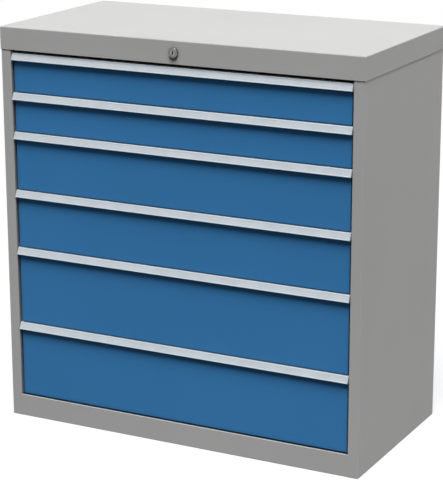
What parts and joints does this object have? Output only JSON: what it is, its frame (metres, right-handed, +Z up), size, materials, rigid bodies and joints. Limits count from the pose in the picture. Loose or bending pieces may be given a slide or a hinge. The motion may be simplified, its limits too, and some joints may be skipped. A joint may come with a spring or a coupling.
{
  "type": "drawer cabinet",
  "caption": "Free-standing steel workshop cabinet with full-width drawers on telescopic runners, aluminium grips and a single lock that bars all drawers.",
  "frame": {"origin": "middle of the footprint on the floor", "axes": "+Z up, the drawers face -Y, +X to the right when facing the drawers"},
  "size_m": [0.982, 0.5035, 1.019],
  "materials": {
    "carcass_grey": "fine powder coat, satin",
    "drawer_blue": "fine powder coat, satin",
    "tray_grey": "powder coat, satin",
    "grip_aluminium": "anodised, drawn along its length",
    "cap_plastic": "moulded",
    "runner_steel": "zinc plated",
    "mechanism_steel": "plain plated steel",
    "lock_metal": "dark nickel plate",
    "plug_metal": "dull nickel plate",
    "rivet_aluminium": "plain",
    "guide_plastic": "moulded"
  },
  "bodies": {
    "carcass": {"top_cover": "carcass_grey", "right_side_panel": "carcass_grey", "left_side_panel": "carcass_grey", "rear_panel": "carcass_grey", "rear_rivets": "rivet_aluminium", "base_tray": "carcass_grey", "plinth_rail": "carcass_grey", "top_front_rail": "carcass_grey", "top_rear_rail": "carcass_grey", "runner_posts": "runner_steel", "cabinet_runner_members": "runner_steel", "bar_guides": "guide_plastic", "lock_housing": "lock_metal", "lock_nut": "mechanism_steel", "spindle_bush": "guide_plastic"},
    "drawer_1": {"drawer_1_front": "drawer_blue", "drawer_1_tray": "tray_grey", "drawer_1_grip": "grip_aluminium", "drawer_1_grip_caps": "cap_plastic", "drawer_1_runner_members": "runner_steel"},
    "middle_1": {"middle_1_runner_members": "runner_steel"},
    "drawer_2": {"drawer_2_front": "drawer_blue", "drawer_2_tray": "tray_grey", "drawer_2_grip": "grip_aluminium", "drawer_2_grip_caps": "cap_plastic", "drawer_2_runner_members": "runner_steel"},
    "middle_2": {"middle_2_runner_members": "runner_steel"},
    "drawer_3": {"drawer_3_front": "drawer_blue", "drawer_3_tray": "tray_grey", "drawer_3_grip": "grip_aluminium", "drawer_3_grip_caps": "cap_plastic", "drawer_3_runner_members": "runner_steel"},
    "middle_3": {"middle_3_runner_members": "runner_steel"},
    "drawer_4": {"drawer_4_front": "drawer_blue", "drawer_4_tray": "tray_grey", "drawer_4_grip": "grip_aluminium", "drawer_4_grip_caps": "cap_plastic", "drawer_4_runner_members": "runner_steel"},
    "middle_4": {"middle_4_runner_members": "runner_steel"},
    "drawer_5": {"drawer_5_front": "drawer_blue", "drawer_5_tray": "tray_grey", "drawer_5_grip": "grip_aluminium", "drawer_5_grip_caps": "cap_plastic", "drawer_5_runner_members": "runner_steel"},
    "middle_5": {"middle_5_runner_members": "runner_steel"},
    "drawer_6": {"drawer_6_front": "drawer_blue", "drawer_6_tray": "tray_grey", "drawer_6_grip": "grip_aluminium", "drawer_6_grip_caps": "cap_plastic", "drawer_6_runner_members": "runner_steel"},
    "middle_6": {"middle_6_runner_members": "runner_steel"},
    "lock_turning": {"lock_plug": "plug_metal", "lock_spindle": "mechanism_steel", "lock_crank": "mechanism_steel"},
    "locking_bar": {"locking_bar": "mechanism_steel"}
  },
  "joints": [
    {"name": "drawer_1_slide", "type": "slide", "parent": "carcass", "child": "drawer_1", "axis": [0, -1, 0], "range_m": [0, 0.42]},
    {"name": "middle_1_slide", "type": "slide", "parent": "carcass", "child": "middle_1", "axis": [0, -1, 0], "range_m": [0, 0.21]},
    {"name": "drawer_2_slide", "type": "slide", "parent": "carcass", "child": "drawer_2", "axis": [0, -1, 0], "range_m": [0, 0.42]},
    {"name": "middle_2_slide", "type": "slide", "parent": "carcass", "child": "middle_2", "axis": [0, -1, 0], "range_m": [0, 0.21]},
    {"name": "drawer_3_slide", "type": "slide", "parent": "carcass", "child": "drawer_3", "axis": [0, -1, 0], "range_m": [0, 0.42]},
    {"name": "middle_3_slide", "type": "slide", "parent": "carcass", "child": "middle_3", "axis": [0, -1, 0], "range_m": [0, 0.21]},
    {"name": "drawer_4_slide", "type": "slide", "parent": "carcass", "child": "drawer_4", "axis": [0, -1, 0], "range_m": [0, 0.42]},
    {"name": "middle_4_slide", "type": "slide", "parent": "carcass", "child": "middle_4", "axis": [0, -1, 0], "range_m": [0, 0.21]},
    {"name": "drawer_5_slide", "type": "slide", "parent": "carcass", "child": "drawer_5", "axis": [0, -1, 0], "range_m": [0, 0.42]},
    {"name": "middle_5_slide", "type": "slide", "parent": "carcass", "child": "middle_5", "axis": [0, -1, 0], "range_m": [0, 0.21]},
    {"name": "drawer_6_slide", "type": "slide", "parent": "carcass", "child": "drawer_6", "axis": [0, -1, 0], "range_m": [0, 0.42]},
    {"name": "middle_6_slide", "type": "slide", "parent": "carcass", "child": "middle_6", "axis": [0, -1, 0], "range_m": [0, 0.21]},
    {"name": "lock_turn", "type": "hinge", "parent": "carcass", "child": "lock_turning", "pos_m": [0, -0.247, 0.9905], "axis": [0, 1, 0], "range_deg": [0, 90]},
    {"name": "bar_lift", "type": "slide", "parent": "carcass", "child": "locking_bar", "axis": [0, 0, 1], "range_m": [0, 0.0198]}
  ],
  "couplings": [
    {"joint": "middle_1_slide", "follows": "drawer_1_slide", "ratio": 0.5},
    {"joint": "middle_2_slide", "follows": "drawer_2_slide", "ratio": 0.5},
    {"joint": "middle_3_slide", "follows": "drawer_3_slide", "ratio": 0.5},
    {"joint": "middle_4_slide", "follows": "drawer_4_slide", "ratio": 0.5},
    {"joint": "middle_5_slide", "follows": "drawer_5_slide", "ratio": 0.5},
    {"joint": "middle_6_slide", "follows": "drawer_6_slide", "ratio": 0.5},
    {"joint": "lock_turn", "follows": "bar_lift", "rad_per_m": 79.337}
  ]
}
